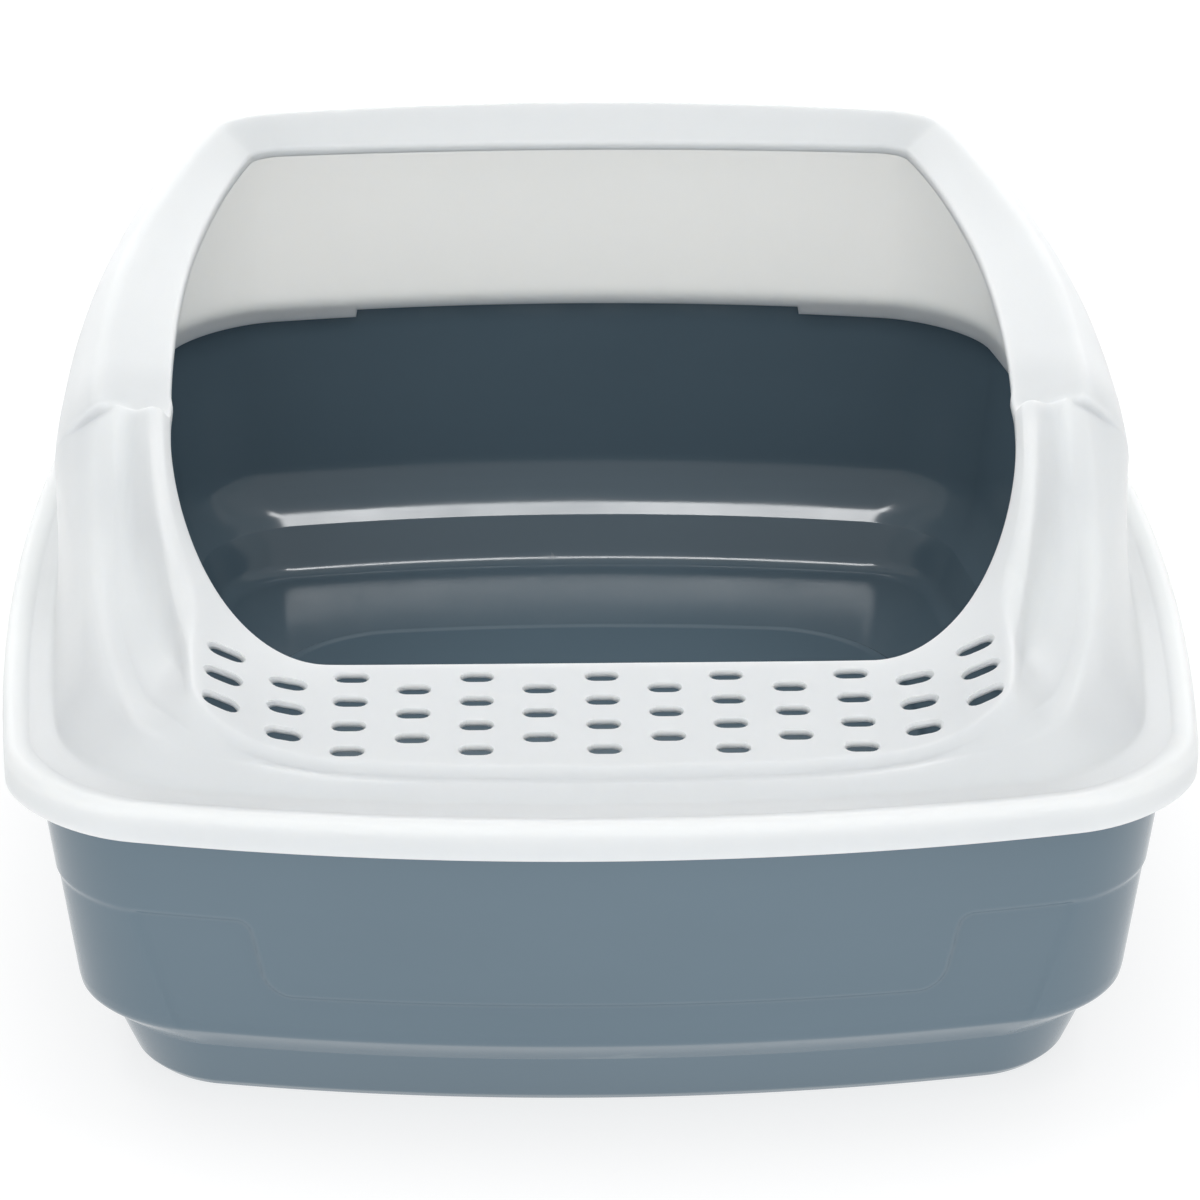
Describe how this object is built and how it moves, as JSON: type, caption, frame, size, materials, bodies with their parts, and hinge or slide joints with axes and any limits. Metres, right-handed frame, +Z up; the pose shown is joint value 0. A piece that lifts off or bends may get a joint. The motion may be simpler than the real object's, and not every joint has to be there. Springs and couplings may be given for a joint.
{
  "type": "cat litter box with rim hood",
  "caption": "Open-top cat litter tray with a lift-off raised rim hood and a slotted entry step at the front.",
  "frame": {"origin": "middle of the tray's foot, on the floor it stands on", "axes": "+X to the right, +Y from the entry step to the back, +Z up"},
  "size_m": [0.3498, 0.48, 0.1769],
  "materials": {
    "tray_plastic": "glossy moulded blue-grey plastic",
    "hood_plastic": "glossy moulded white plastic"
  },
  "bodies": {
    "tray": {"tray": "tray_plastic"},
    "hood": {"hood": "hood_plastic"}
  },
  "joints": [
    {"name": "hood_lift", "type": "slide", "parent": "tray", "child": "hood", "axis": [0, 0, 1], "range_m": [0, 0.15]}
  ]
}
